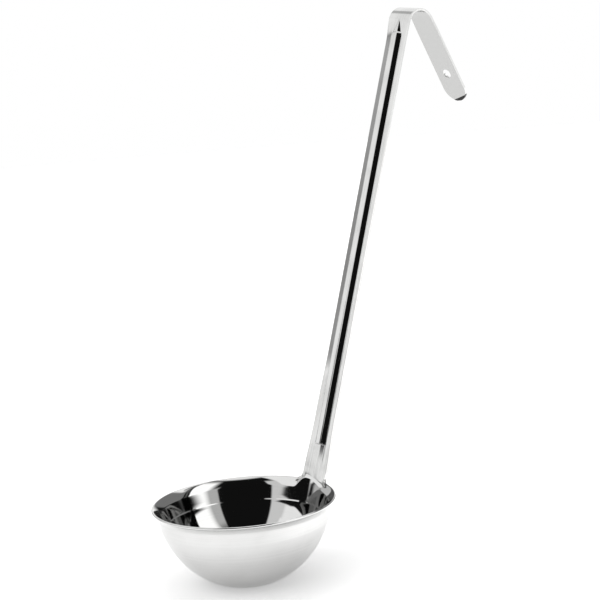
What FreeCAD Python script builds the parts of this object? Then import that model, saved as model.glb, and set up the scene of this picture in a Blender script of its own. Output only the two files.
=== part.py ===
import FreeCAD, Part
import math
import os

# A stainless steel soup ladle, in millimetres and degrees.
# The bowl stands on its flat base, centred on the origin, with +Z up.
# The handle rises over the bowl's +X side, with the width of its strip along Y.

# Sheet metal
bowl_sheet = 1.2            # gauge of the drawn bowl
handle_sheet = 1.2          # gauge of the pressed handle strip

# Bowl, measured on its outside
rim_radius = 45.0           # outermost edge of the lip
rim_height = 38.6           # top of the lip above the table
lip_lean = 40.5             # how far the lip flares from upright
lip_length = 4.25           # up the flare, from the wall band to the rounded edge
wall_lean = 9.0             # how far the wall band leans from upright
wall_length = 6.35          # up the wall band, from the crease to the lip
bowl_curve = 46.0           # radius of the rounded bowl between the base and the crease
base_radius = 17.0          # flat that the ladle stands on

# Seat of the handle on the bowl
tab_drop = 1.2              # the wall's upright tab behind the handle ends this far below the rim
bend_drop = 0.6             # the handle bends outwards this far below the rim
foot_height = 17.0          # lowest point of the handle's foot above the table
foot_width = 17.8           # width of the foot, and of the strip where it meets the rim
weld_gap = 0.6              # root gap between the handle's edges and the ends of the lip

# Handle strip
handle_lean = 19.0          # how far the handle leans from upright
strip_width = 15.25
flare_length = 15.0         # height above the bend over which the strip widens to the foot
straight_length = 238.5     # front face from the bend to the start of the hook
hook_radius = 8.8           # outside of the hook's round top
hook_lean = 27.9            # how far the hook's leg stands off from upright
leg_length = 50.25          # inner face of the leg, from the round top to the tip
hole_diameter = 5.0         # hanging hole
hole_to_tip = 16.4          # centre of the hanging hole to the tip

# Stiffening rib, pressed forward out of the strip
rib_width = 9.4
rib_height = 1.5
rib_bottom = 15.5           # lower end of the rib above the bend
rib_top_gap = 2.0           # upper end of the rib to the start of the hook

# Welds and dipped tip
spot_diameter = 4.0
spot_depth = 0.5            # how far each spot weld reaches into either sheet
spot_spacing = 8.0          # between the two spots, along the wall
spot_height = 3.6           # centre of the spots above the crease, along the wall
weld_leg = 3.0              # leg of the concave fillet between the strip's edge and the lip
weld_crown = 0.2            # how far the fillet stands proud of the strip's two faces
dip_depth = 1.85            # dipped length on the middle of the tip
dip_slant = 12.5            # slope of the dip's edge across the strip
dip_coat = 0.3              # thickness of the dip

# Directions
AXIS = FreeCAD.Vector(0, 0, 1)
ACROSS = FreeCAD.Vector(0, 1, 0)
OUT = FreeCAD.Vector(1, 0, 0)
ORIGIN = FreeCAD.Vector(0, 0, 0)


def section_point(radius, height):
    """A point of the half section through the bowl's axis and the handle."""
    return FreeCAD.Vector(radius, 0, height)


def leaning(lean):
    """Direction in the section that leans outwards from upright."""
    return section_point(math.sin(math.radians(lean)), math.cos(math.radians(lean)))


def inward(direction):
    """Direction square to a line of the section, on the side of the bowl's inside."""
    return section_point(-direction.z, direction.x)


def lines_meet(start_a, along_a, start_b, along_b):
    """Where two straight lines of the section cross."""
    gap = start_b - start_a
    step = (gap.x * along_b.z - gap.z * along_b.x) / (along_a.x * along_b.z - along_a.z * along_b.x)
    return start_a + along_a * step


def line_meets_circle(start, along, centre, radius, near):
    """Where a line of the section cuts a circle, at the crossing closest to a given point."""
    foot = start + along * (centre - start).dot(along)
    half_chord = math.sqrt(radius ** 2 - (foot - centre).Length ** 2)
    crossings = [foot - along * half_chord, foot + along * half_chord]
    return min(crossings, key=lambda crossing: (crossing - near).Length)


def circle_centre(start, end, radius):
    """Centre of the arc from one point to the next that has its hollow side towards the inside."""
    chord = end - start
    rise = math.sqrt(radius ** 2 - (chord.Length / 2) ** 2)
    return start + chord * 0.5 + inward(chord * (1 / chord.Length)) * rise


def arc_about(centre, start, end):
    """The short arc between two points about a centre."""
    middle = (start + end) * 0.5 - centre
    middle = centre + middle * ((start - centre).Length / middle.Length)
    return Part.Arc(start, middle, end).toShape()


def line(start, end):
    return Part.LineSegment(start, end).toShape()


def closed_outline(corners):
    """Straight lines round a list of corners, back to the first."""
    return Part.Wire([line(corners[i - 1], corners[i]) for i in range(len(corners))])


def turned(edges):
    """A full turn of a closed section about the bowl's axis."""
    return Part.Face(Part.Wire(edges)).revolve(ORIGIN, AXIS, 360)


# Outside of the bowl, from the rim down: lip, wall band, crease, rounded side and base
up_wall = leaning(wall_lean)
up_lip = leaning(lip_lean)
edge_centre = section_point(rim_radius - bowl_sheet / 2, rim_height - bowl_sheet / 2)
lip_end = edge_centre - inward(up_lip) * (bowl_sheet / 2)
lip_start = lip_end - up_lip * lip_length
crease = lip_start - up_wall * wall_length
base_edge = section_point(base_radius, 0)
bowl_centre = circle_centre(base_edge, crease, bowl_curve)

# Inside of the bowl, one gauge in from the outside
wall_inside = crease + inward(up_wall) * bowl_sheet
lip_end_inside = edge_centre + inward(up_lip) * (bowl_sheet / 2)
lip_start_inside = lines_meet(wall_inside, up_wall, lip_end_inside, up_lip)
inner_curve = bowl_curve - bowl_sheet
crease_inside = line_meets_circle(wall_inside, up_wall, bowl_centre, inner_curve, crease)
base_middle_inside = section_point(0, bowl_sheet)
base_edge_inside = line_meets_circle(base_middle_inside, OUT, bowl_centre, inner_curve, base_edge)


def on_wall(height, start):
    """Point of the wall band's line through a start point, at a height above the table."""
    return start + up_wall * ((height - start.z) / up_wall.z)


# Handle line: the front face leaves the wall's outside at the bend
tab_height = rim_height - tab_drop
bend_height = rim_height - bend_drop
bend = on_wall(bend_height, crease)
up_handle = leaning(handle_lean)
front = inward(up_handle)
half_strip = strip_width / 2
half_foot = foot_width / 2
notch_half = half_foot + weld_gap
beyond = rim_radius + rim_height


def on_strip(height, across, depth):
    """Point of the handle strip: height up the front face from the bend, across it, and into it."""
    return bend + up_handle * height + ACROSS * across - front * depth


# Hook: round top about an axis across the strip, then a leg
hook_centre = on_strip(straight_length, 0, hook_radius)
hook_turn = 180 - handle_lean - hook_lean
leg_down = section_point(math.sin(math.radians(hook_lean)), -math.cos(math.radians(hook_lean)))
leg_out = section_point(-leg_down.z, leg_down.x)
leg_start = hook_centre + leg_out * (hook_radius - handle_sheet)


def on_leg(down, across, depth):
    """Point of the hook's leg: down its inner face, across it, and into it."""
    return leg_start + leg_down * down + ACROSS * across + leg_out * depth


def rounded_tube(radius, start, end):
    """A straight round bar with ball ends."""
    bar = Part.makeCylinder(radius, (end - start).Length, start, end - start)
    balls = [Part.makeSphere(radius, point) for point in (start, end)]
    return bar.fuse(balls)


def make_bowl():
    """Drawn bowl: flat base, rounded side, wall band, flared lip and the tab that backs the handle."""
    body = turned([
        line(ORIGIN, base_edge),
        arc_about(bowl_centre, base_edge, crease),
        line(crease, lip_start),
        line(lip_start, lip_start_inside),
        line(lip_start_inside, crease_inside),
        arc_about(bowl_centre, crease_inside, base_edge_inside),
        line(base_edge_inside, base_middle_inside),
        line(base_middle_inside, ORIGIN),
    ])
    lip_tip = edge_centre + up_lip * (bowl_sheet / 2)
    lip = turned([
        line(lip_start, lip_end),
        Part.Arc(lip_end, lip_tip, lip_end_inside).toShape(),
        line(lip_end_inside, lip_start_inside),
        line(lip_start_inside, lip_start),
    ])
    tab_end = on_wall(tab_height, lip_start)
    tab_end_inside = on_wall(tab_height, lip_start_inside)
    tab = turned([
        line(lip_start, tab_end),
        line(tab_end, tab_end_inside),
        line(tab_end_inside, lip_start_inside),
        line(lip_start_inside, lip_start),
    ])
    notch_corner = FreeCAD.Vector(0, -notch_half, 0)
    notch = Part.makeBox(beyond, 2 * notch_half, beyond, notch_corner)
    return body.fuse([lip.cut(notch), tab.common(notch)]).removeSplitter()


def make_foot():
    """Spade foot that hugs the outside of the bowl, from its round end up to the bend."""
    outer_curve = bowl_curve + handle_sheet
    wall_outside = crease - inward(up_wall) * handle_sheet
    crease_outside = line_meets_circle(wall_outside, up_wall, bowl_centre, outer_curve, crease)
    foot_level = section_point(0, foot_height)
    foot_end = line_meets_circle(foot_level, OUT, bowl_centre, bowl_curve, crease)
    foot_end_outside = line_meets_circle(foot_level, OUT, bowl_centre, outer_curve, crease)
    bend_outside = on_wall(bend_height, wall_outside)
    ring = turned([
        arc_about(bowl_centre, foot_end, crease),
        line(crease, bend),
        line(bend, bend_outside),
        line(bend_outside, crease_outside),
        arc_about(bowl_centre, crease_outside, foot_end_outside),
        line(foot_end_outside, foot_end),
    ])
    left = ACROSS * half_foot
    end_middle = FreeCAD.Vector(0, 0, foot_height + half_foot)
    outline = Part.Wire([
        Part.Arc(end_middle - left, end_middle - AXIS * half_foot, end_middle + left).toShape(),
        line(end_middle + left, left + AXIS * bend_height),
        line(left + AXIS * bend_height, AXIS * bend_height - left),
        line(AXIS * bend_height - left, end_middle - left),
    ])
    return ring.common(Part.Face(outline).extrude(OUT * beyond))


def make_flare():
    """Run of the strip from the curved top of the foot to its full flat section."""
    outside_radius = on_wall(bend_height, crease - inward(up_wall) * handle_sheet).x

    def seat_corner(radius, side):
        return FreeCAD.Vector(math.sqrt(radius ** 2 - half_foot ** 2), side * half_foot, bend_height)

    def seat_arc(radius, side):
        middle = section_point(radius, bend_height)
        return Part.Arc(seat_corner(radius, side), middle, seat_corner(radius, -side)).toShape()

    seat = Part.Wire([
        seat_arc(bend.x, 1),
        line(seat_corner(bend.x, -1), seat_corner(outside_radius, -1)),
        seat_arc(outside_radius, -1),
        line(seat_corner(outside_radius, 1), seat_corner(bend.x, 1)),
    ])
    return Part.makeLoft([seat, strip_section(flare_length)], True, True)


def strip_section(height):
    """Flat section of the strip, square to its length."""
    corners = [
        on_strip(height, half_strip, 0),
        on_strip(height, -half_strip, 0),
        on_strip(height, -half_strip, handle_sheet),
        on_strip(height, half_strip, handle_sheet),
    ]
    return closed_outline(corners)


def make_ribbed_strip():
    """Straight part of the strip, with the rib raised on its front and hollow behind."""
    run = straight_length - flare_length
    strip = Part.Face(strip_section(flare_length)).extrude(up_handle * run)
    half_rib = rib_width / 2
    rib_radius = (half_rib ** 2 + rib_height ** 2) / (2 * rib_height)
    rib_depth = rib_radius - rib_height
    rib_start = on_strip(rib_bottom + half_rib, 0, rib_depth)
    rib_end = on_strip(straight_length - rib_top_gap - half_rib, 0, rib_depth)
    bead = rounded_tube(rib_radius, rib_start, rib_end)
    hollow = rounded_tube(rib_radius - handle_sheet, rib_start, rib_end)
    corners = [
        on_strip(flare_length, half_strip, 0),
        on_strip(flare_length, -half_strip, 0),
        on_strip(straight_length, -half_strip, 0),
        on_strip(straight_length, half_strip, 0),
    ]
    raised = bead.common(Part.Face(closed_outline(corners)).extrude(front * rib_height))
    return strip.fuse(raised).cut(hollow)


def make_hook_top():
    """Round top of the hook."""
    return Part.Face(strip_section(straight_length)).revolve(hook_centre, ACROSS, hook_turn)


def make_leg():
    """Leg of the hook, with its round tip and the hanging hole."""
    round_start = leg_length - half_strip
    outline = Part.Wire([
        line(on_leg(0, -half_strip, 0), on_leg(round_start, -half_strip, 0)),
        Part.Arc(on_leg(round_start, -half_strip, 0), on_leg(leg_length, 0, 0),
                 on_leg(round_start, half_strip, 0)).toShape(),
        line(on_leg(round_start, half_strip, 0), on_leg(0, half_strip, 0)),
        line(on_leg(0, half_strip, 0), on_leg(0, -half_strip, 0)),
    ])
    plate = Part.Face(outline).extrude(leg_out * handle_sheet)
    hole_start = on_leg(leg_length - hole_to_tip, 0, 0)
    return plate.cut(Part.makeCylinder(hole_diameter / 2, handle_sheet, hole_start, leg_out))


def make_handle():
    """Pressed handle: foot, flare, ribbed strip, hook and leg in one piece of sheet."""
    pieces = [make_flare(), make_ribbed_strip(), make_hook_top(), make_leg()]
    return make_foot().fuse(pieces).removeSplitter()


def make_spot_welds():
    """Two weld nuggets, half in the wall and half in the foot."""
    into_wall = inward(up_wall)
    seat = crease + up_wall * spot_height
    half_turn = math.degrees(math.asin(spot_spacing / 2 / seat.x))
    nuggets = []
    for side in (-1, 1):
        start = seat - into_wall * spot_depth
        nugget = Part.makeCylinder(spot_diameter / 2, 2 * spot_depth, start, into_wall)
        nugget.rotate(ORIGIN, AXIS, side * half_turn)
        nuggets.append(nugget)
    return nuggets


def make_rim_welds():
    """Polished fillets that close the corners between the strip's edges and the lip."""
    bottom = lip_start.z - bend_height
    depth = handle_sheet + 2 * weld_crown
    middle = weld_leg * (1 - math.sqrt(0.5))
    fillets = []
    for side in (-1, 1):
        places = [(0, bottom), (weld_gap, bottom), (weld_leg, 0), (middle, middle), (0, weld_leg)]
        root, gap_end, lip_side, hollow, strip_side = [
            on_strip(height, side * (half_foot + across), -weld_crown) for across, height in places
        ]
        outline = Part.Wire([
            line(root, gap_end),
            line(gap_end, lip_side),
            Part.Arc(lip_side, hollow, strip_side).toShape(),
            line(strip_side, root),
        ])
        fillets.append(Part.Face(outline).extrude(front * -depth))
    return fillets


def make_tip_dip(handle):
    """Thin black coat on the end of the hook, with a slanted edge."""
    disc_middle = on_leg(leg_length - half_strip, 0, -dip_coat)
    depth = handle_sheet + 2 * dip_coat
    disc = Part.makeCylinder(half_strip + dip_coat, depth, disc_middle, leg_out)
    edge = leg_length - dip_depth
    slope = math.tan(math.radians(dip_slant))
    far = leg_length + strip_width
    outline = closed_outline([
        on_leg(edge - strip_width * slope, -strip_width, -dip_coat),
        on_leg(edge + strip_width * slope, strip_width, -dip_coat),
        on_leg(far, strip_width, -dip_coat),
        on_leg(far, -strip_width, -dip_coat),
    ])
    dipped = Part.Face(outline).extrude(leg_out * depth)
    return disc.common(dipped).cut(handle)


bowl = make_bowl()
handle = make_handle()
spot_welds = make_spot_welds()
bowl = bowl.cut(spot_welds)
handle = handle.cut(spot_welds)
rim_welds = [fillet.cut([bowl, handle]) for fillet in make_rim_welds()]
tip_dip = make_tip_dip(handle)

nodes = {
    "bowl": bowl,
    "handle": handle,
    "spot_welds": Part.makeCompound(spot_welds),
    "rim_welds": Part.makeCompound(rim_welds),
    "hook_tip": tip_dip,
}
os.makedirs("parts", exist_ok=True)
for name, shape in nodes.items():
    shape.exportStep("parts/" + name + ".step")
    print(name, "solids", len(shape.Solids), "volume", round(shape.Volume, 2), "valid", shape.isValid())
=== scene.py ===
# %% [markdown]
# # A stainless steel soup ladle
# The ladle is a drawn bowl, a pressed handle and the welds that join them, with a black dip on the tip.
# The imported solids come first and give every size. Each visible piece is then made again with the soft
# edges and the finish that the eye expects of polished sheet steel.

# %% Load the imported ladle
import math

import bmesh
import bpy
from mathutils import Matrix, Vector


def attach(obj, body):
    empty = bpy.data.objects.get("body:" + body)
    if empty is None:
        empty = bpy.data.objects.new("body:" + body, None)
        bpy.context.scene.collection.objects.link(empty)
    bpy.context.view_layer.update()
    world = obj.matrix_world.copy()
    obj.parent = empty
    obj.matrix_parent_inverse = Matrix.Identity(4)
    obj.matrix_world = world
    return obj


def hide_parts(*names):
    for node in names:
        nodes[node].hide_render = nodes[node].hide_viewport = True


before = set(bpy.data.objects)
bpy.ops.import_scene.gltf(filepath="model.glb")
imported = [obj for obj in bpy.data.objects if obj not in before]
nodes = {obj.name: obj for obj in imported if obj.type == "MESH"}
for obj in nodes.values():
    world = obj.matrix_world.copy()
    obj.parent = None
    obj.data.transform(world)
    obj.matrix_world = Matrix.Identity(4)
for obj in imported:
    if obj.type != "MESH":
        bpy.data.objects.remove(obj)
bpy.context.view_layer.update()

scene = bpy.context.scene
scene.view_settings.view_transform = "Standard"

# %% [markdown]
# ## Camera
# The picture was taken from a little above the rim, with a long lens and the camera turned slightly on
# its axis. Moving a camera by hand until things line up takes long, so the place, lens and turn were
# worked out from edges whose sizes are known, such as the round rim, and are set here as plain numbers.

# %% Place the camera
MM = 0.001
camera_azimuth = -36.808
camera_elevation = 8.602
camera_roll = -4.502
camera_distance = 777.35
camera_target = Vector((43.67, 0, 130.58))
focal_pixels = 1574.86
image_pixels = 600


def camera_axes(azimuth, elevation, roll):
    """Right, up and back directions of a camera that looks at the ladle."""
    turn, rise, tilt = (math.radians(angle) for angle in (azimuth, elevation, roll))
    back = Vector((math.sin(turn) * math.cos(rise), -math.cos(turn) * math.cos(rise), math.sin(rise)))
    level = Vector((math.cos(turn), math.sin(turn), 0))
    right = level * math.cos(tilt) + back.cross(level) * math.sin(tilt)
    return right, back.cross(right), back


right, up, back = camera_axes(camera_azimuth, camera_elevation, camera_roll)
camera = bpy.data.objects.new("camera", bpy.data.cameras.new("camera"))
camera.data.sensor_width = 36
camera.data.lens = focal_pixels / image_pixels * camera.data.sensor_width
camera.matrix_world = Matrix((right, up, back)).transposed().to_4x4()
camera.location = (camera_target + back * camera_distance) * MM
scene.collection.objects.link(camera)
scene.camera = camera
print("camera at", [round(value, 4) for value in camera.location])
print("lens", round(camera.data.lens, 2), "mm")

# %% [markdown]
# ## Two small helpers
# Colours are written as the hex values a painter would pick and turned to the linear values that the
# renderer adds up. Node trees are long when each node takes four lines, so one function adds a node with
# its settings and its inputs, and an input may be a plain value or another node's output.

# %% Colour and node helpers


def linear(hex_colour):
    """Linear red, green, blue and alpha of an sRGB hex colour."""
    channels = [int(hex_colour[place:place + 2], 16) / 255 for place in (1, 3, 5)]
    values = []
    for channel in channels:
        values.append(channel / 12.92 if channel <= 0.04045 else ((channel + 0.055) / 1.055) ** 2.4)
    return values + [1.0]


def add_node(tree, kind, settings=None, inputs=None):
    """A new node with its settings, and a value or a link for each input by name or place."""
    node = tree.nodes.new(kind)
    for name, value in (settings or {}).items():
        setattr(node, name, value)
    for key, value in (inputs or {}).items():
        if isinstance(value, bpy.types.NodeSocket):
            tree.links.new(value, node.inputs[key])
        else:
            node.inputs[key].default_value = value
    return node


# %% [markdown]
# ## Steel
# The bowl and the handle are stainless steel, polished on a wheel. Such steel is a mirror first of all:
# what it shows is the room. The wheel leaves very fine lines, round the bowl and along the handle, and
# wiped-dry water leaves a faint haze. Sheet that was drawn or pressed is never perfectly even either, so
# a broad, very shallow wave bends the reflections a little. The back of the handle keeps the duller
# finish of the rolling mill. An image of scratched metal could be wrapped round the pieces, but it would
# stretch on the curves. Noise with a real width in millimetres doesn't: roughness and colour carry the
# lines, the haze and the back, and bump carries the wave.

# %% Start a material


def new_material(name):
    """A node material that is empty but for its output."""
    material = bpy.data.materials.new(name)
    material.use_nodes = True
    material.node_tree.nodes.clear()
    output = add_node(material.node_tree, "ShaderNodeOutputMaterial")
    return material, material.node_tree, output.inputs["Surface"]


# %% Wheel-polished steel
haze_width = 14.0
wave_width = 11.0
wave_depth = 0.004
worn_range = (0.12, 0.45)
streak_range = (0.18, 0.38)
smoothest = 0.6
roughest = 1.5
mill_finish = "#c8c8c7"
mill_roughness = 0.12


def wheel_polished(name, bright, streaked, roughness, line_place):
    """Mirror polished steel with fine polishing lines, wiped streaks, a faint haze and a shallow wave."""
    material, tree, surface = new_material(name)
    place = add_node(tree, "ShaderNodeTexCoord").outputs["Object"]
    lines = add_node(tree, "ShaderNodeTexNoise", None,
                     {"Vector": line_place(tree, place), "Scale": 1.0, "Detail": 3.0, "Roughness": 0.6})
    haze = add_node(tree, "ShaderNodeTexNoise", None,
                    {"Vector": place, "Scale": 1 / (haze_width * MM), "Detail": 4.0, "Roughness": 0.55,
                     "Distortion": 0.6})
    worn = add_node(tree, "ShaderNodeMath", {"operation": "MULTIPLY"},
                    {0: lines.outputs[0], 1: haze.outputs[0]}).outputs[0]
    rough = add_node(tree, "ShaderNodeMapRange", None,
                     {"Value": worn, "From Min": worn_range[0], "From Max": worn_range[1],
                      "To Min": roughness * smoothest, "To Max": roughness * roughest})
    streaks = add_node(tree, "ShaderNodeMapRange", None,
                       {"Value": worn, "From Min": streak_range[0], "From Max": streak_range[1]})
    colour = add_node(tree, "ShaderNodeMix", {"data_type": "RGBA"},
                      {"Factor": streaks.outputs[0], 6: linear(bright), 7: linear(streaked)})
    # Only the handle knows its depth in the sheet. On the bowl this is zero, so both sides are bright.
    depth = add_node(tree, "ShaderNodeAttribute", {"attribute_name": "sheet_depth"}).outputs["Fac"]
    duller = add_node(tree, "ShaderNodeMix", {"data_type": "RGBA"},
                      {"Factor": depth, 6: colour.outputs[2], 7: linear(mill_finish)})
    back_rough = add_node(tree, "ShaderNodeMath", {"operation": "MULTIPLY_ADD"},
                          {0: depth, 1: mill_roughness, 2: rough.outputs[0]})
    wave = add_node(tree, "ShaderNodeTexNoise", None,
                    {"Vector": place, "Scale": 1 / (wave_width * MM), "Detail": 1.0})
    bump = add_node(tree, "ShaderNodeBump", None,
                    {"Height": wave.outputs[0], "Strength": 1.0, "Distance": wave_depth * MM})
    shader = add_node(tree, "ShaderNodeBsdfPrincipled", None,
                      {"Base Color": duller.outputs[2], "Metallic": 1.0,
                       "Roughness": back_rough.outputs[0], "Normal": bump.outputs[0]})
    tree.links.new(shader.outputs[0], surface)
    return material


# %% Polishing lines
# A real polishing line is too fine to show, so these are drawn half a millimetre wide.
line_spacing = 0.5
line_length = 40.0


def lines_round_the_bowl(tree, place):
    """Coordinates that change only with the distance from the axis and with the height."""
    parts = add_node(tree, "ShaderNodeSeparateXYZ", None, {0: place}).outputs
    level = add_node(tree, "ShaderNodeCombineXYZ", None, {"X": parts["X"], "Y": parts["Y"]}).outputs[0]
    radius = add_node(tree, "ShaderNodeVectorMath", {"operation": "LENGTH"}, {0: level}).outputs["Value"]
    rings = add_node(tree, "ShaderNodeCombineXYZ", None, {"X": radius, "Y": parts["Z"]}).outputs[0]
    return add_node(tree, "ShaderNodeVectorMath", {"operation": "SCALE"},
                    {0: rings, "Scale": 1 / (line_spacing * MM)}).outputs[0]


def lines_along_the_strip(tree, place):
    """Coordinates that change fast across the strip and slowly along it."""
    strip = add_node(tree, "ShaderNodeAttribute", {"attribute_name": "strip_place"}).outputs["Vector"]
    return add_node(tree, "ShaderNodeVectorMath", {"operation": "MULTIPLY"},
                    {0: strip, 1: (1 / line_spacing, 1 / line_length, 1)}).outputs[0]


bright_steel = "#e6e6e5"
bowl_streaks = "#e1e1e0"
handle_streaks = "#d6d6d5"
bowl_roughness = 0.05
handle_roughness = 0.08
bowl_steel = wheel_polished("mirror_polished_stainless_bowl", bright_steel, bowl_streaks, bowl_roughness,
                            lines_round_the_bowl)
handle_steel = wheel_polished("bright_polished_stainless_handle", bright_steel, handle_streaks,
                              handle_roughness, lines_along_the_strip)
print("steel materials", bowl_steel.name, handle_steel.name)

# %% [markdown]
# ## Bowl
# A press draws the bowl from a flat disc, so every upright cut through its middle shows the same
# section: flat base, round side, a short wall band above a small ledge, and a flared lip that curls
# outwards. The screw modifier could spin that section. Geometry Nodes do the same with sizes that stay
# open to change, and can also do what a plain spin can't: at the handle the wall band rises and is
# ground into the strip with a small hollow fillet, higher on one side than on the other, and next to it
# the lip is flatter. Every point of the section therefore has three places, flared, flattened and
# raised, and the angle round the bowl blends them.

# %% Section of the bowl
sheet = 1.2
rim_radius = 45.0
rim_height = 38.6
lip_lean = 40.5
lip_length = 4.25
wall_lean = 9.0
wall_length = 6.35
bowl_curve = 46.0
base_radius = 17.0
base_round = 1.8
crease_round = 1.5
lip_curl = 19.0
inside_lean = 18.5
inside_length = 6.9
ledge_length = 0.6
ledge_lean = 38.0
joint_ledge_lean = 21.0
ledge_round = 0.3


def leaning(lean):
    """Direction in the section that leans outwards from upright."""
    return Vector((math.sin(math.radians(lean)), math.cos(math.radians(lean))))


def inward(direction):
    """Direction square to a line of the section, on the bowl's inner side."""
    return Vector((-direction.y, direction.x))


def lines_meet(start_a, along_a, start_b, along_b):
    """Where two straight lines of the section cross."""
    gap = start_b - start_a
    step = (gap.x * along_b.y - gap.y * along_b.x) / (along_a.x * along_b.y - along_a.y * along_b.x)
    return start_a + along_a * step


def line_meets_circle(start, along, centre, radius, near):
    """Where a line of the section cuts a circle, at the crossing closest to a given point."""
    middle = start + along * (centre - start).dot(along)
    half_chord = math.sqrt(radius ** 2 - (middle - centre).length_squared)
    crossings = [middle - along * half_chord, middle + along * half_chord]
    return min(crossings, key=lambda crossing: (crossing - near).length)


def arc_points(centre, start, end, count):
    """Evenly spread points of the short arc about a centre."""
    first = math.atan2(start.y - centre.y, start.x - centre.x)
    sweep = (start - centre).angle_signed(end - centre)
    radius = (start - centre).length
    angles = [first - sweep * step / count for step in range(count + 1)]
    return [centre + Vector((math.cos(angle), math.sin(angle))) * radius for angle in angles]


def line_points(start, end, count):
    """Evenly spread points of a straight run, without its two ends."""
    return [start.lerp(end, step / count) for step in range(1, count)]


up_wall = leaning(wall_lean)
up_lip = leaning(lip_lean)
edge_centre = Vector((rim_radius - sheet / 2, rim_height - sheet / 2))
lip_start = edge_centre - inward(up_lip) * (sheet / 2) - up_lip * lip_length
crease = lip_start - up_wall * wall_length
base_edge = Vector((base_radius, 0))
chord = crease - base_edge
bowl_rise = math.sqrt(bowl_curve ** 2 - chord.length_squared / 4)
bowl_centre = (crease + base_edge) / 2 + inward(chord.normalized()) * bowl_rise
lip_first = leaning(lip_lean - lip_curl / 2)
up_inside = leaning(inside_lean)
wall_face = crease + inward(up_wall) * sheet
lip_face = lip_start + inward(lip_first) * sheet
lip_inside = lines_meet(wall_face, up_wall, lip_face, lip_first)
wall_inside = lip_inside - up_inside * inside_length
print("crease at", [round(value, 2) for value in crease])
print("centre of the round side at", [round(value, 2) for value in bowl_centre])

# %% Rounded bends of the section
base_steps = 5
base_bend_steps = 8
outer_steps = 30
inner_steps = 34
crease_steps = 6
ledge_steps = 5
wall_steps = 5
lip_steps = 8
edge_steps = 5
wall_share = 0.1


def bent_corner(before, corner, after, radius, count):
    """Points of the round bend that replaces a corner between two straight runs."""
    to_before = (before - corner).normalized()
    to_after = (after - corner).normalized()
    half = to_before.angle(to_after) / 2
    reach = radius / math.tan(half)
    centre = corner + (to_before + to_after).normalized() * (radius / math.sin(half))
    return arc_points(centre, corner + to_before * reach, corner + to_after * reach, count)


def curved_run(start, end, curl, count):
    """Points of a run that leans further outwards, by curl degrees, from its start to its end."""
    run = end - start
    hollow = run.length / 2 / math.tan(math.radians(curl) / 2)
    return arc_points((start + end) / 2 - inward(run.normalized()) * hollow, start, end, count)


def outer_side_points():
    """Outer face below the lip, from the middle of the base up to the wall band."""
    ease_height = Vector((0, base_round))
    outwards = Vector((1, 0))
    base_ease = line_meets_circle(ease_height, outwards, bowl_centre, bowl_curve - base_round, base_edge)
    wall_line = crease + inward(up_wall) * crease_round
    crease_ease = line_meets_circle(wall_line, up_wall, bowl_centre, bowl_curve - crease_round, crease)
    side_start = bowl_centre + (base_ease - bowl_centre).normalized() * bowl_curve
    side_end = bowl_centre + (crease_ease - bowl_centre).normalized() * bowl_curve
    base_end = Vector((base_ease.x, 0))
    points = [Vector((0, 0))] + line_points(Vector((0, 0)), base_end, base_steps)
    points += arc_points(base_ease, base_end, side_start, base_bend_steps)
    points += arc_points(bowl_centre, side_start, side_end, outer_steps)[1:-1]
    points += arc_points(crease_ease, side_end, crease_ease - inward(up_wall) * crease_round, crease_steps)
    return points


def inner_side_points(step_lean):
    """Inner face below the lip, from the middle of the base up over the small ledge to the wall band."""
    curve = bowl_curve - sheet
    level = Vector((0, sheet))
    side_start = line_meets_circle(level, Vector((1, 0)), bowl_centre, curve, base_edge)
    side_end = wall_inside - leaning(step_lean) * ledge_length
    run = side_end - side_start
    rise = math.sqrt(curve ** 2 - run.length_squared / 4)
    centre = (side_start + side_end) / 2 + inward(run.normalized()) * rise
    side = arc_points(centre, side_start, side_end, inner_steps)
    points = [level] + line_points(level, side_start, base_steps) + side[:-1]
    points += bent_corner(side[-2], side_end, wall_inside, ledge_round, ledge_steps)
    points += bent_corner(side_end, wall_inside, wall_inside + up_inside, ledge_round, ledge_steps)
    return points


def lip_points(start, end, curl, gauge, bend_round):
    """Both faces of the lip, from the wall band up the outside, over the edge and down the inside."""
    run = end - start
    run_lean = math.degrees(math.atan2(run.x, run.y))
    first = leaning(run_lean - curl / 2)
    last = leaning(run_lean + curl / 2)
    end_inside = end + inward(last) * gauge
    middle = (end + end_inside) / 2
    edge = middle + last * (gauge / 2)
    corner_inside = lines_meet(wall_inside, up_inside, start + inward(first) * gauge, first)
    outside = bent_corner(crease, start, start + first, bend_round, lip_steps)
    inside = bent_corner(corner_inside + first, corner_inside, wall_inside, bend_round + gauge, lip_steps)
    points = line_points(crease.lerp(start, wall_share), outside[0], wall_steps) + outside
    points += curved_run(outside[-1], end, curl, lip_steps)[1:-1]
    points += arc_points(middle, end, edge, edge_steps)
    points += arc_points(middle, edge, end_inside, edge_steps)[1:]
    points += curved_run(inside[0], end_inside, curl, lip_steps)[-2:0:-1] + inside
    points += line_points(inside[-1], wall_inside.lerp(corner_inside, wall_share), wall_steps)
    return points


# %% The three places of the section
lip_round = 1.4
flat_rise = 1.9
joint_wall = 11.4
joint_lean = 39.6
joint_length = 3.4
joint_curl = -24.0
joint_gauge = 0.5
joint_round = 0.5

lip_end = edge_centre - inward(leaning(lip_lean + lip_curl / 2)) * (sheet / 2)
joint_start = crease + up_wall * joint_wall
joint_end = joint_start + leaning(joint_lean) * joint_length
outer_side = outer_side_points()
inner_side = inner_side_points(ledge_lean)[::-1]
joint_side = inner_side_points(joint_ledge_lean)[::-1]
flat_start = lip_start + up_wall * flat_rise
flared = outer_side + lip_points(lip_start, lip_end, lip_curl, sheet, lip_round) + inner_side
flattened = outer_side + lip_points(flat_start, lip_end, lip_curl, sheet, lip_round) + joint_side
raised = outer_side + lip_points(joint_start, joint_end, joint_curl, joint_gauge, joint_round) + joint_side
print("points in the section", len(flared), len(flattened), len(raised))

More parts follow.
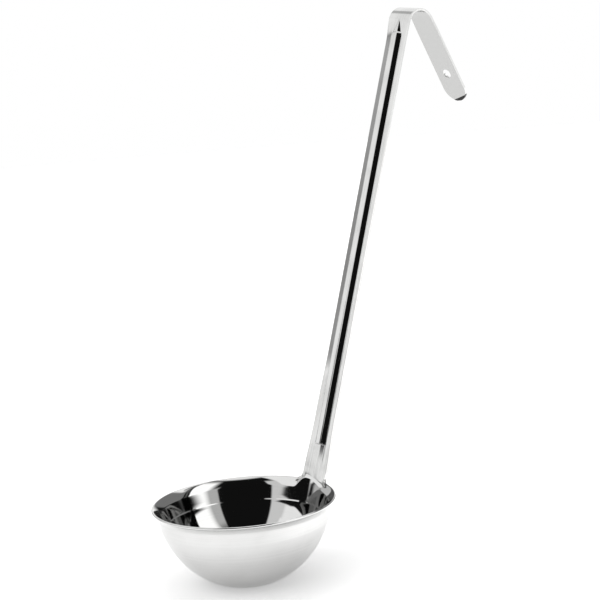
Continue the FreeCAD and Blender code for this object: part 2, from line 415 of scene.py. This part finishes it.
# %% Node tree that turns the section round
bowl_inputs = {"Section": "Geometry", "Rays": "Int", "Peak Angle": "Float", "Left Angle": "Float",
               "Right Angle": "Float", "Flat Angle": "Float", "Steel": "Material"}
seam_gap = 0.01


def bowl_turning_tree():
    """Turns a section about the upright axis and blends its lip into the joint at the handle."""
    tree = bpy.data.node_groups.new("turned_bowl", "GeometryNodeTree")
    for name, kind in bowl_inputs.items():
        tree.interface.new_socket(name, in_out="INPUT", socket_type="NodeSocket" + kind)
    tree.interface.new_socket("Bowl", in_out="OUTPUT", socket_type="NodeSocketGeometry")
    given = add_node(tree, "NodeGroupInput").outputs
    count = add_node(tree, "GeometryNodeAttributeDomainSize", None,
                     {"Geometry": given["Section"]}).outputs[0]
    grid = add_node(tree, "GeometryNodeMeshGrid", None, {"Vertices X": given["Rays"], "Vertices Y": count})
    index = add_node(tree, "GeometryNodeInputIndex").outputs[0]
    along = add_node(tree, "ShaderNodeMath", {"operation": "MODULO"}, {0: index, 1: count}).outputs[0]
    first = add_node(tree, "ShaderNodeMath", {"operation": "SUBTRACT"}, {0: index, 1: along}).outputs[0]
    turns = add_node(tree, "ShaderNodeMath", {"operation": "SUBTRACT"},
                     {0: given["Rays"], 1: 1.0}).outputs[0]
    last = add_node(tree, "ShaderNodeMath", {"operation": "MULTIPLY"}, {0: turns, 1: count}).outputs[0]
    angle = add_node(tree, "ShaderNodeMapRange", None,
                     {"Value": first, "From Max": last, "To Min": -math.pi, "To Max": math.pi}).outputs[0]
    places = [add_node(tree, "GeometryNodeInputPosition").outputs[0]]
    for name in ("flattened", "raised"):
        named = add_node(tree, "GeometryNodeInputNamedAttribute", {"data_type": "FLOAT_VECTOR"},
                         {"Name": name})
        places.append(named.outputs[0])
    sampled = []
    for value in places:
        sample = add_node(tree, "GeometryNodeSampleIndex", {"data_type": "FLOAT_VECTOR"},
                          {"Geometry": given["Section"], "Value": value, "Index": along})
        sampled.append(sample.outputs[0])
    blend = sampled[0]
    for section, right_foot in ((sampled[1], "Flat Angle"), (sampled[2], "Right Angle")):
        share = 1.0
        for foot in ("Left Angle", right_foot):
            flank = add_node(tree, "ShaderNodeMapRange", {"interpolation_type": "SMOOTHSTEP"},
                             {"Value": angle, "From Min": given[foot], "From Max": given["Peak Angle"]})
            share = add_node(tree, "ShaderNodeMath", {"operation": "MULTIPLY"},
                             {0: share, 1: flank.outputs[0]}).outputs[0]
        blend = add_node(tree, "ShaderNodeMix", {"data_type": "VECTOR"},
                         {"Factor": share, 4: blend, 5: section}).outputs[1]
    turned = add_node(tree, "ShaderNodeVectorRotate", {"rotation_type": "Z_AXIS"},
                      {"Vector": blend, "Angle": angle}).outputs[0]
    shaped = add_node(tree, "GeometryNodeSetPosition", None,
                      {"Geometry": grid.outputs[0], "Position": turned})
    closed = add_node(tree, "GeometryNodeMergeByDistance", None,
                      {"Geometry": shaped.outputs[0], "Distance": seam_gap * MM})
    smooth = add_node(tree, "GeometryNodeSetShadeSmooth", None, {"Geometry": closed.outputs[0]})
    real = add_node(tree, "GeometryNodeRealizeInstances", None, {"Geometry": smooth.outputs[0]})
    steel = add_node(tree, "GeometryNodeSetMaterial", None,
                     {"Geometry": real.outputs[0], "Material": given["Steel"]})
    add_node(tree, "NodeGroupOutput", None, {"Bowl": steel.outputs[0]})
    return tree


# %% Turn the bowl


def mesh_from(name, points, faces):
    """A mesh from points in millimetres."""
    mesh = bpy.data.meshes.new(name)
    mesh.from_pydata([Vector(point) * MM for point in points], [], faces)
    return mesh


def new_object(name, mesh):
    """An object at the origin that shows a mesh."""
    made = bpy.data.objects.new(name, mesh)
    scene.collection.objects.link(made)
    return made


def plain_mesh(source):
    """The finished mesh of an object, with its modifiers worked in and removed."""
    view = bpy.context.evaluated_depsgraph_get()
    mesh = bpy.data.meshes.new_from_object(source.evaluated_get(view))
    source.modifiers.clear()
    # The node tree's grid brings an empty material slot along.
    if mesh.materials and mesh.materials[0] is None:
        mesh.materials.pop(index=0)
    old = source.data
    source.data = mesh
    bpy.data.meshes.remove(old)
    return mesh


def set_inputs(modifier, values):
    """Sets a Geometry Nodes modifier's inputs by the names that its tree shows."""
    for item in modifier.node_group.interface.items_tree:
        if item.in_out == "INPUT" and item.name in values:
            modifier[item.identifier] = values[item.name]


ray_count = 361
peak_angle = 6.5
left_angle = 17.0
right_angle = -16.0
flat_angle = -36.0

section_mesh = mesh_from("bowl_section", [(point.x, 0, point.y) for point in flared], [])
for name, points in (("flattened", flattened), ("raised", raised)):
    other_places = section_mesh.attributes.new(name, "FLOAT_VECTOR", "POINT")
    for item, point in zip(other_places.data, points):
        item.vector = Vector((point.x, 0, point.y)) * MM
bowl = new_object("drawn_bowl", section_mesh)
turning = bowl.modifiers.new("turning", "NODES")
turning.node_group = bowl_turning_tree()
set_inputs(turning, {"Rays": ray_count, "Steel": bowl_steel,
                     "Peak Angle": math.radians(peak_angle), "Left Angle": math.radians(left_angle),
                     "Right Angle": math.radians(right_angle), "Flat Angle": math.radians(flat_angle)})
bowl_mesh = plain_mesh(bowl)
print("bowl faces", len(bowl_mesh.polygons))

# %% Hand the bowl to the frame


def hand_over(piece, node):
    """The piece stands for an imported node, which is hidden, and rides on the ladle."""
    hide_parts(node)
    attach(piece, "root")
    print(piece.name, "stands for", node)


hand_over(bowl, "bowl")

# %% [markdown]
# ## Handle
# The handle is one strip of sheet, pressed and bent: a spade foot that hugs the bowl, a rib along the
# front that stiffens it, and a hook. Carving a block would lose the even gauge, so the front face is
# made as a grid of points that follow the strip's path, and a Solidify modifier gives it the gauge.
# Every point is known by two distances, along the strip and across it, which also makes the polishing
# lines run along the strip.

# %% Path of the strip
handle_lean = 19.0
bend_height = 38.0
bend_round = 14.0
straight_length = 238.5
hook_radius = 8.8
hook_lean = 27.9
leg_length = 50.25
foot_height = 17.0

up_handle = leaning(handle_lean)
bend = crease + up_wall * ((bend_height - crease.y) / up_wall.y)
bend_turn = handle_lean - wall_lean
bend_reach = bend_round * math.tan(math.radians(bend_turn / 2))
path_start = bend + up_handle * bend_reach
crease_lean = math.degrees(math.asin((bowl_centre.y - crease.y) / bowl_curve))
foot_lean = math.degrees(math.asin((bowl_centre.y - foot_height) / bowl_curve))
hook_turn = 180 - handle_lean - hook_lean
hook_run = hook_radius * math.radians(hook_turn)
crease_turn = crease_lean - wall_lean
crease_run = 1.0
wall_run = (bend - crease).length - bend_reach - crease_run / 2
runs_up = [(straight_length - bend_reach, 0), (hook_run, hook_turn), (leg_length, 0)]
runs_down = [(bend_round * math.radians(bend_turn), -bend_turn), (wall_run, 0), (crease_run, crease_turn),
             (bowl_curve * math.radians(foot_lean - crease_lean), foot_lean - crease_lean)]


def walk(distance):
    """Place and lean of the front face, by the distance along it from the bend."""
    beyond = distance - bend_reach
    way = 1 if beyond >= 0 else -1
    left = abs(beyond)
    point = path_start.copy()
    lean = handle_lean
    for length, turn in runs_up if way > 0 else runs_down:
        step = min(left, length)
        middle_lean = lean + turn * step / length / 2
        half_turn = math.radians(turn * step / length) / 2
        stretch = math.sin(half_turn) / half_turn if half_turn else 1
        point += leaning(middle_lean) * (way * step * stretch)
        lean += turn * step / length
        left -= step
    return point, lean


foot_end = bend_reach - sum(length for length, turn in runs_down)
tip_end = straight_length + hook_run + leg_length
print("strip from", round(foot_end, 1), "to", round(tip_end, 1), "mm along the front face")

# %% [markdown]
# The strip's section changes along its length. Near the bowl it widens and follows the bowl's curve.
# Above that a rib with a nearly flat crown and steep sides stands proud, a little off the middle. Its
# lower end is a short step with a shallow dish below it, and below the hook it ends in a round nose with
# a small dart. The press also tilted the margin on one side of the rib and the arch of the hook. Each of
# these is a small rule, so they are written as rules and added up. A sculpted mesh could show them too,
# but no size in it could be changed later.

# %% Section of the strip
strip_width = 15.25
foot_width = 17.8
flare_start = 2.0
flare_end = 32.0
hug_fade = -2.5
hug_end = 7.0
crown_half = 2.05
rib_half = 3.95
rib_middle = -0.55
rib_side_slope = 47.0
rib_bottom = 19.2
rib_ramp = 0.5
dish_bottom = 7.0
dish_depth = 0.13
dish_start = 0.2
dish_reach = 3.0
dish_return = (3.3, 4.3)
nose_start = 229.8
nose_round = 3.4
dart_length = 9.5
dart_share = 0.95
foot_softness = 0.06
crown_softness = 0.14
crown_dome = 0.05
margin_tilt = 8.0
margin_fade = (40.0, 66.0)
margin_end = 9.0
arch_tilt = 6.0
arch_inside = 4.0
arch_outside = 12.0
straight_from = 30.0
least_share = 0.01


def ease(value, start, end):
    """A smooth step from 0 to 1 between two values."""
    share = min(max((value - start) / (end - start), 0), 1)
    return share * share * (3 - 2 * share)


def half_width(along):
    """Half the width of the strip."""
    return (foot_width + (strip_width - foot_width) * ease(along, flare_start, flare_end)) / 2


def soft_ramp(value, softness):
    """The value itself where it is above zero, and zero below, with a rounded corner between."""
    near_corner = value < straight_from * softness
    return softness * math.log1p(math.exp(value / softness)) if near_corner else value


def nose_share(along):
    """How much of the rib's section is left in its round nose and in the dart above it."""
    beyond = max(along - nose_start, 0)
    in_round = math.sqrt(max(1 - (beyond / nose_round) ** 2, 0))
    in_dart = dart_share * max(1 - beyond / dart_length, 0)
    return max(in_round, in_dart)


def rib_rise(along, across):
    """How far the rib stands proud of the strip."""
    share = nose_share(along)
    if share < least_share:
        return 0
    away = abs(across - rib_middle) / share
    side = soft_ramp(rib_half - away, foot_softness) - soft_ramp(crown_half - away, crown_softness)
    dome = crown_dome * (1 + math.cos(math.pi * min(away / rib_half, 1))) / 2
    rise = side * math.tan(math.radians(rib_side_slope)) + dome
    return rise * share * ease(along, rib_bottom, rib_bottom + rib_ramp)


def strip_rise(along, across):
    """How far the front face stands off its path: the bowl's curve, the rib and what lies beside it."""
    place = walk(along)[0]
    hug = place.x - math.sqrt(place.x ** 2 - across ** 2) if along < hug_end else 0
    hug *= 1 - ease(along, hug_fade, hug_end)
    beside = across - rib_middle
    margin = soft_ramp(beside - rib_half, crown_softness) * math.tan(math.radians(margin_tilt))
    margin *= ease(along, *margin_fade) * (1 - ease(along, straight_length - margin_end, straight_length))
    dish = dish_depth * min(max((-beside - dish_start) / dish_reach, 0), 1)
    dish *= 1 - ease(-beside, *dish_return)
    dish *= ease(along, dish_bottom, rib_bottom) * (1 - ease(along, rib_bottom, rib_bottom + rib_ramp))
    return hug + rib_rise(along, across) - margin - dish


def arch_share(along):
    """One in the hook's arch and zero away from it."""
    arch_end = straight_length + hook_run
    before = ease(along, straight_length - arch_outside, straight_length + arch_inside)
    return before - ease(along, arch_end - arch_inside, arch_end + arch_outside)


def strip_point(along, across, lift=0.0):
    """Point of the front face in the ladle's frame."""
    place, lean = walk(along)
    front = inward(leaning(lean))
    point = place + front * (strip_rise(along, across) + lift)
    tilt = across * math.tan(math.radians(arch_tilt)) * arch_share(along)
    return Vector((point.x, across, point.y + tilt))


# %% Grid of the strip
# Rows lie closer together where the shape changes fast: at the bend, at both ends of the rib and in the
# hook.
columns = 72
row_spans = [(foot_end + foot_width / 2, -12.0, 6), (-12.0, 8.0, 44), (8.0, 19.0, 16), (19.0, 21.0, 16),
             (21.0, 34.0, 14), (34.0, 222.0, 60), (222.0, straight_length, 56),
             (straight_length, straight_length + hook_run, 40),
             (straight_length + hook_run, tip_end - strip_width / 2, 48)]
round_rows = 14


def round_end(share, across_share, radius):
    """Distances along and across that spread a half square evenly over a half disc."""
    along = radius * share * math.sqrt(1 - across_share ** 2 / 2)
    across = radius * across_share * math.sqrt(1 - share ** 2 / 2)
    return along, across


def strip_rows():
    """Rows of (along, across) that cover the strip from the round foot to the round tip."""
    shares = [2 * column / columns - 1 for column in range(columns + 1)]
    rows = []
    for step in range(round_rows, 0, -1):
        row = [round_end(step / round_rows, share, foot_width / 2) for share in shares]
        rows.append([(foot_end + foot_width / 2 - along, across) for along, across in row])
    for start, end, count in row_spans:
        for step in range(count):
            along = start + (end - start) * step / count
            rows.append([(along, share * half_width(along)) for share in shares])
    for step in range(round_rows + 1):
        row = [round_end(step / round_rows, share, strip_width / 2) for share in shares]
        rows.append([(tip_end - strip_width / 2 + along, across) for along, across in row])
    return rows


def grid_faces(row_count, column_count):
    """Faces of a grid of points, seen from the front."""
    faces = []
    for row in range(row_count - 1):
        for column in range(column_count - 1):
            corner = row * column_count + column
            faces.append((corner, corner + column_count, corner + column_count + 1, corner + 1))
    return faces


rows = strip_rows()
places = [place for row in rows for place in row]
strip_points = [strip_point(*place) for place in places]
strip_mesh = mesh_from("strip_front", strip_points, grid_faces(len(rows), columns + 1))
strip_places = strip_mesh.attributes.new("strip_place", "FLOAT_VECTOR", "POINT")
for item, (along, across) in zip(strip_places.data, places):
    item.vector = (across, along, 0)
print("strip grid", len(rows), "by", columns + 1)

# %% [markdown]
# The hanging hole is punched. A boolean cut would leave ragged faces in the grid, so the faces around the
# hole are taken out first and a ring of new faces is sewn from the edge of that gap to a true circle.

# %% Punch the hanging hole
hole_diameter = 5.0
hole_to_tip = 16.4
hole_along = tip_end - hole_to_tip
hole_margin = 0.8
gap_reach = 3.0


def punch_hole(mesh):
    """Opens a round hole in the leg, with a ring of faces round it."""
    build = bmesh.new()
    build.from_mesh(mesh)
    known = build.verts.layers.float_vector["strip_place"]
    offsets = {vert: Vector((vert[known].y - hole_along, vert[known].x)) for vert in build.verts}
    clear = hole_diameter / 2 + hole_margin
    inside = [vert for vert, offset in offsets.items() if offset.length < clear]
    bmesh.ops.delete(build, geom=inside, context="VERTS")
    near = clear + gap_reach
    rims = [edge for edge in build.edges if edge.is_boundary]
    gap = [edge for edge in rims if all(offsets[vert].length < near for vert in edge.verts)]
    ring = {}
    for edge in gap:
        for vert in edge.verts:
            if vert not in ring:
                flat = offsets[vert].normalized() * (hole_diameter / 2)
                ring[vert] = build.verts.new(strip_point(hole_along + flat.x, flat.y) * MM)
                ring[vert][known] = (flat.y, hole_along + flat.x, 0)
    for edge in gap:
        loop = edge.link_loops[0]
        first, second = loop.vert, loop.link_loop_next.vert
        build.faces.new((second, first, ring[first], ring[second]))
    build.to_mesh(mesh)
    build.free()
    return len(gap)


print("faces round the hole", punch_hole(strip_mesh))

# %% [markdown]
# Sheet has the same gauge everywhere, so every front face gets its thickness from Solidify and its
# slightly rounded edges from Bevel. The back then tells how far each point lies below the front, which
# is what the steel needs for its duller back. The welding tips pressed two shallow dents there.

# %% Gauge and soft edges
bevel_from = 50.0
bevel_steps = 3


def solid_sheet(piece, thickness, edge_round):
    """Turns a front face into sheet of a gauge with softened edges."""
    gauge = piece.modifiers.new("gauge", "SOLIDIFY")
    gauge.thickness = thickness * MM
    gauge.offset = -1
    gauge.use_even_offset = True
    soft = piece.modifiers.new("soft_edges", "BEVEL")
    soft.limit_method = "ANGLE"
    soft.angle_limit = math.radians(bevel_from)
    soft.width = edge_round * MM
    soft.segments = bevel_steps
    soft.use_clamp_overlap = True
    mesh = plain_mesh(piece)
    mesh.shade_smooth()
    return mesh


# %% Finish the handle
weld_height = 3.6
weld_spacing = 8.0
dent_diameter = 4.6
dent_flat = 0.6
dent_depth = 0.12
back_share = 0.9
strip_edge_round = 0.06
crease_along = bend_reach - bend_round * math.radians(bend_turn) - wall_run - crease_run / 2
weld_along = crease_along + weld_height
print("spot welds", round(weld_along, 1), "mm along the front face")


def mark_back(mesh):
    """Notes how deep in the sheet each point lies, and dents the back where the welding tips pressed."""
    depths = mesh.attributes.new("sheet_depth", "FLOAT", "POINT")
    for vert, known, depth in zip(mesh.vertices, mesh.attributes["strip_place"].data, depths.data):
        across, along = known.vector.x, known.vector.y
        to_front = strip_point(along, across) * MM - vert.co
        depth.value = min(to_front.length / (sheet * MM), 1)
        from_weld = math.hypot(along - weld_along, abs(across) - weld_spacing / 2)
        if depth.value > back_share and from_weld < dent_diameter / 2:
            dent = dent_depth * (1 - ease(from_weld, dent_flat, dent_diameter / 2))
            vert.co += to_front.normalized() * (dent * MM)


def give_material(mesh, material):
    """Gives a mesh one material."""
    mesh.materials.clear()
    mesh.materials.append(material)


handle = new_object("pressed_handle", strip_mesh)
handle_mesh = solid_sheet(handle, sheet, strip_edge_round)
give_material(handle_mesh, handle_steel)
mark_back(handle_mesh)
hand_over(handle, "handle")
print("handle faces", len(handle_mesh.polygons))

# %% [markdown]
# ## Welds
# Two spot welds hold the foot to the bowl. The nuggets are out of sight between the sheets, so the
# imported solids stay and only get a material. Two fillets close the corners between the strip and the
# lip. They are ground and polished by hand, so their surface is a little duller and less even than the
# sheet beside them. A metaball would give a soft drop, but not the hollow edge that grinding leaves, so
# the fillets are grids like the strip.

# %% Weld metal
scratch_width = 0.6
scratch_depth = 0.006
scratch_range = (0.3, 0.7)
weld_roughness = (0.1, 0.24)


def ground_weld(name, hex_colour):
    """Ground and polished weld metal: a dull mirror with short, uneven scratches."""
    material, tree, surface = new_material(name)
    place = add_node(tree, "ShaderNodeTexCoord").outputs["Object"]
    scratches = add_node(tree, "ShaderNodeTexNoise", None,
                         {"Vector": place, "Scale": 1 / (scratch_width * MM), "Detail": 4.0,
                          "Roughness": 0.65})
    rough = add_node(tree, "ShaderNodeMapRange", None,
                     {"Value": scratches.outputs[0], "From Min": scratch_range[0],
                      "From Max": scratch_range[1], "To Min": weld_roughness[0],
                      "To Max": weld_roughness[1]})
    bump = add_node(tree, "ShaderNodeBump", None,
                    {"Height": scratches.outputs[0], "Strength": 1.0, "Distance": scratch_depth * MM})
    shader = add_node(tree, "ShaderNodeBsdfPrincipled", None,
                      {"Base Color": linear(hex_colour), "Metallic": 1.0, "Roughness": rough.outputs[0],
                       "Normal": bump.outputs[0]})
    tree.links.new(shader.outputs[0], surface)
    return material


weld_steel = ground_weld("ground_stainless_weld", "#dcdcda")
give_material(nodes["spot_welds"].data, weld_steel)
print("weld metal", weld_steel.name)

# %% Fillets beside the handle
weld_leg = 3.0
weld_crown = 0.15
weld_lap = 0.7
weld_below = 1.8
weld_columns = 12
weld_rows = 20
weld_blend = 0.4
weld_sink = 0.03
weld_edge_round = 0.25


def fillet_reach(along):
    """How far from the middle of the strip the hollow edge of a fillet lies."""
    up_leg = weld_leg - min(max(along, 0), weld_leg)
    return half_width(along) + weld_leg - math.sqrt(weld_leg ** 2 - up_leg ** 2)


def fillet_mesh():
    """Front faces of the two fillets, which lap a little onto the strip."""
    points, faces = [], []
    for side in (-1, 1):
        first = len(points)
        for row in range(weld_rows + 1):
            along = -weld_below + (weld_leg + weld_below) * row / weld_rows
            inner = half_width(along) - weld_lap
            for column in range(weld_columns + 1):
                share = column / weld_columns
                across = inner + (fillet_reach(along) - inner) * share
                lift = weld_crown * ease(share, 0, weld_blend) - weld_sink
                points.append(strip_point(along, side * across, lift))
        grid = grid_faces(weld_rows + 1, weld_columns + 1)
        faces += [[first + corner for corner in (face if side > 0 else face[::-1])] for face in grid]
    return mesh_from("fillets", points, faces)


fillets = new_object("rim_fillets", fillet_mesh())
fillets_mesh = solid_sheet(fillets, sheet + weld_crown, weld_edge_round)
give_material(fillets_mesh, weld_steel)
hand_over(fillets, "rim_welds")
print("fillet faces", len(fillets_mesh.polygons))

# %% [markdown]
# ## Dipped tip
# The very end of the hook is black: it was dipped in liquid vinyl, which hides the cut edge and keeps it
# from scratching a shelf. The coat is a little larger than the steel all round and has a soft edge.
# Painting the end black would leave no step, so it is made as a slice of a disc between the slanted dip
# line and the round end, and gets its thickness the way the strip did.

# %% Black vinyl
peel_width = 0.9
peel_depth = 0.02
vinyl_roughness = (0.3, 0.5)


def dipped_vinyl(name, hex_colour):
    """Black dipped vinyl: satin, with the faint orange peel of a coat that ran before it set."""
    material, tree, surface = new_material(name)
    place = add_node(tree, "ShaderNodeTexCoord").outputs["Object"]
    peel = add_node(tree, "ShaderNodeTexNoise", None,
                    {"Vector": place, "Scale": 1 / (peel_width * MM), "Detail": 2.0})
    rough = add_node(tree, "ShaderNodeMapRange", None,
                     {"Value": peel.outputs[0], "To Min": vinyl_roughness[0],
                      "To Max": vinyl_roughness[1]})
    bump = add_node(tree, "ShaderNodeBump", None,
                    {"Height": peel.outputs[0], "Strength": 1.0, "Distance": peel_depth * MM})
    shader = add_node(tree, "ShaderNodeBsdfPrincipled", None,
                      {"Base Color": linear(hex_colour), "Roughness": rough.outputs[0], "IOR": 1.53,
                       "Specular IOR Level": 0.3, "Normal": bump.outputs[0]})
    tree.links.new(shader.outputs[0], surface)
    return material


tip_vinyl = dipped_vinyl("black_dipped_vinyl", "#0d0d0e")
print("coat", tip_vinyl.name)

# %% Coat on the tip
dip_depth = 1.5
dip_slant = 15.0
dip_coat = 0.12
dip_columns = 40
dip_rows = 8
dip_edge_round = 0.2
dip_seam = 0.001


def coat_mesh():
    """Front face of the coat, from the slanted dip line to the round end."""
    middle = tip_end - strip_width / 2
    radius = strip_width / 2 + dip_coat
    slope = math.tan(math.radians(dip_slant))
    line_start = tip_end - dip_depth - middle
    spread = 1 + slope ** 2
    centre = -line_start * slope / spread
    half = math.sqrt(centre ** 2 - (line_start ** 2 - radius ** 2) / spread)
    points = []
    for row in range(dip_rows + 1):
        for column in range(dip_columns + 1):
            across = centre - half * math.cos(math.pi * column / dip_columns)
            on_line = line_start + across * slope
            on_round = math.sqrt(max(radius ** 2 - across ** 2, 0))
            along = middle + on_line + (on_round - on_line) * row / dip_rows
            points.append(strip_point(along, across, dip_coat))
    mesh = mesh_from("coat", points, grid_faces(dip_rows + 1, dip_columns + 1))
    build = bmesh.new()
    build.from_mesh(mesh)
    bmesh.ops.remove_doubles(build, verts=build.verts, dist=dip_seam * MM)
    build.to_mesh(mesh)
    build.free()
    return mesh


tip = new_object("dipped_tip", coat_mesh())
tip_mesh = solid_sheet(tip, sheet + 2 * dip_coat, dip_edge_round)
give_material(tip_mesh, tip_vinyl)
hand_over(tip, "hook_tip")
print("tip faces", len(tip_mesh.polygons))

# %% [markdown]
# ## Studio
# Polished steel shows its surroundings, so the room matters as much as the metal. The ladle stands on a
# wide pale table under a bright ceiling. To the left and to the right stand large soft lights, and the
# side of the camera is dark, as in a studio: that is what draws the black stripe on the rib and the
# black shape in the bowl. Light boxes could be built as glowing planes. Here the world paints them by
# direction, with soft edges, so nothing gets in the way of another view. Each light has four angles
# round the room and four up from the level: where it starts to show, where it is full, where it starts
# to fade and where it ends. Inside the bowl, where steel mirrors steel, the picture is much darker than
# a clean mirror would be, so the room loses most of its light for rays that have met the metal twice.

# %% Soft lights of the room
forward = Vector((-back.x, -back.y, 0)).normalized()
sideways = Vector((forward.y, -forward.x, 0))
soft_lights = [
    {"name": "left_wall", "turn": (-80.5, -76.5, -64, -54), "rise": (7.6, 9, 30, 45), "level": 0.97},
    {"name": "left_floor", "turn": (-74, -66, -60, -52), "rise": (-30, -25, 6, 9), "level": 0.5},
    {"name": "left_back", "turn": (-62, -52, -22, -14), "rise": (-30, -25, 45, 60), "level": 0.55},
    {"name": "left_box", "turn": (-142, -138, -118, -104), "rise": (16.3, 17.8, 52, 60), "level": 0.68},
    {"name": "left_side", "turn": (-130, -112, -76, -66), "rise": (16.3, 17.8, 50, 62), "level": 0.95},
    {"name": "left_high", "turn": (-128, -116, -50, -30), "rise": (28, 34, 72, 80), "level": 0.95},
    {"name": "back_wall", "turn": (-26, -18, 10, 24), "rise": (-30, -25, 60, 75), "level": 1.0},
    {"name": "back_high", "turn": (-10, 0, 66, 80), "rise": (38, 45, 66, 74), "level": 1.05},
    {"name": "right_back", "turn": (10, 22, 75, 88), "rise": (8, 13, 50, 60), "level": 0.2},
    {"name": "right_box", "turn": (78, 86, 116, 136), "rise": (13.5, 17.5, 60, 74), "level": 1.3},
    {"name": "right_low", "turn": (76, 86, 140, 150), "rise": (-30, -25, 6, 9), "level": 1.15},
    {"name": "right_edge", "turn": (110, 120, 139.5, 142.5), "rise": (9, 14, 36, 52), "level": 0.5},
    {"name": "ceiling", "turn": (-220, -200, 200, 220), "rise": (70, 78, 100, 110), "level": 0.95},
    {"name": "horizon", "turn": (-45, -35, 150, 170), "rise": (-30, -25, 0, 3), "level": 0.95},
    {"name": "table_beyond", "turn": (-220, -200, 200, 220), "rise": (-100, -95, -14, -8), "level": 0.9},
]
second_bounce = 0.2
dark_room = 0.006


def paint_world():
    """A dark room with soft lights, which the camera itself sees as plain white."""
    world = bpy.data.worlds.new("studio")
    world.use_nodes = True
    tree = world.node_tree
    tree.nodes.clear()
    way = add_node(tree, "ShaderNodeTexCoord").outputs["Generated"]
    ahead = add_node(tree, "ShaderNodeVectorMath", {"operation": "DOT_PRODUCT"}, {0: way, 1: forward})
    aside = add_node(tree, "ShaderNodeVectorMath", {"operation": "DOT_PRODUCT"}, {0: way, 1: sideways})
    height = add_node(tree, "ShaderNodeSeparateXYZ", None, {0: way}).outputs["Z"]
    turn = add_node(tree, "ShaderNodeMath", {"operation": "ARCTAN2"},
                    {0: aside.outputs["Value"], 1: ahead.outputs["Value"]}).outputs[0]
    rise = add_node(tree, "ShaderNodeMath", {"operation": "ARCSINE"}, {0: height}).outputs[0]
    level = dark_room
    for light in soft_lights:
        shown = light["level"]
        for angle, (start, full, fade, end) in ((turn, light["turn"]), (rise, light["rise"])):
            for outer, inner in ((start, full), (end, fade)):
                inside = add_node(tree, "ShaderNodeMapRange", {"interpolation_type": "SMOOTHSTEP"},
                                  {"Value": angle, "From Min": math.radians(outer),
                                   "From Max": math.radians(inner)})
                shown = add_node(tree, "ShaderNodeMath", {"operation": "MULTIPLY"},
                                 {0: shown, 1: inside.outputs[0]}).outputs[0]
        level = add_node(tree, "ShaderNodeMath", {"operation": "MAXIMUM"}, {0: level, 1: shown}).outputs[0]
    path = add_node(tree, "ShaderNodeLightPath").outputs
    share = add_node(tree, "ShaderNodeMapRange", None,
                     {"Value": path["Glossy Depth"], "From Min": 1.0, "From Max": 2.0,
                      "To Min": 1.0, "To Max": second_bounce})
    level = add_node(tree, "ShaderNodeMath", {"operation": "MULTIPLY"},
                     {0: level, 1: share.outputs[0]}).outputs[0]
    seen = add_node(tree, "ShaderNodeMath", {"operation": "MAXIMUM"},
                    {0: path["Is Camera Ray"], 1: path["Is Transmission Ray"]}).outputs[0]
    strength = add_node(tree, "ShaderNodeMix", None, {"Factor": seen, 2: level, 3: 1.0}).outputs[0]
    glow = add_node(tree, "ShaderNodeBackground", None, {"Color": linear("#ffffff"), "Strength": strength})
    add_node(tree, "ShaderNodeOutputWorld", None, {"Surface": glow.outputs[0]})
    scene.world = world


paint_world()
print("soft lights", [light["name"] for light in soft_lights])

# %% [markdown]
# The table is matte and pale. Lamps alone would have to be very bright to make it white in the picture,
# and would then wash out the ladle, so the table also glows a little for the camera and for the steel
# that mirrors it, more on the right, where the large light stands. One broad lamp overhead lights the
# whole table evenly, and its share keeps the soft shadow close round the bowl.

# %% Table
floor_radius = 4.0
camera_glow = 0.33
mirror_glow = 0.24
side_glow = 0.68
side_range = (20.0, 160.0)

floor_mesh = bpy.data.meshes.new("floor")
floor_build = bmesh.new()
bmesh.ops.create_circle(floor_build, cap_ends=True, segments=64, radius=floor_radius)
floor_build.to_mesh(floor_mesh)
floor_build.free()
floor = new_object("floor", floor_mesh)


def pale_table(name, hex_colour):
    """Matte pale table top that lifts to white for the camera and stays pale in the steel, with a painted
    pool of light on the right.
    """
    material, tree, surface = new_material(name)
    path = add_node(tree, "ShaderNodeLightPath").outputs
    matte = add_node(tree, "ShaderNodeBsdfDiffuse", None, {"Color": linear(hex_colour)})
    to_camera = add_node(tree, "ShaderNodeMath", {"operation": "MULTIPLY"},
                         {0: path["Is Camera Ray"], 1: camera_glow}).outputs[0]
    to_mirror = add_node(tree, "ShaderNodeMath", {"operation": "MAXIMUM"},
                         {0: path["Is Glossy Ray"], 1: path["Is Transmission Ray"]}).outputs[0]
    place = add_node(tree, "ShaderNodeTexCoord").outputs["Object"]
    rightwards = add_node(tree, "ShaderNodeVectorMath", {"operation": "DOT_PRODUCT"},
                          {0: place, 1: sideways}).outputs["Value"]
    # Painted light: in the steel the table glows brighter towards the right, where the large light stands.
    in_mirror = add_node(tree, "ShaderNodeMapRange", {"interpolation_type": "SMOOTHSTEP"},
                         {"Value": rightwards, "From Min": side_range[0] * MM,
                          "From Max": side_range[1] * MM, "To Min": mirror_glow,
                          "To Max": side_glow}).outputs[0]
    strength = add_node(tree, "ShaderNodeMath", {"operation": "MULTIPLY_ADD"},
                        {0: to_mirror, 1: in_mirror, 2: to_camera}).outputs[0]
    glow = add_node(tree, "ShaderNodeEmission", None, {"Strength": strength})
    both = add_node(tree, "ShaderNodeAddShader", None, {0: matte.outputs[0], 1: glow.outputs[0]})
    tree.links.new(both.outputs[0], surface)
    return material


give_material(floor_mesh, pale_table("matte_pale_table", "#f0f0f0"))
print("table", floor_radius * 2, "m across")

# %% Lamp overhead
lamp_breadth = 72.0
lamp_strength = 1.3
lamp_left = 0.2
lamp_front = 0.15

lamp = bpy.data.lights.new("key_light", "SUN")
lamp.angle = math.radians(lamp_breadth)
lamp.energy = lamp_strength
key = bpy.data.objects.new("key_light", lamp)
key_way = (Vector((0, 0, 1)) - sideways * lamp_left - forward * lamp_front).normalized()
key.rotation_euler = key_way.to_track_quat("Z", "Y").to_euler()
key.visible_glossy = False
scene.collection.objects.link(key)
print("key light from", [round(value, 2) for value in key_way])
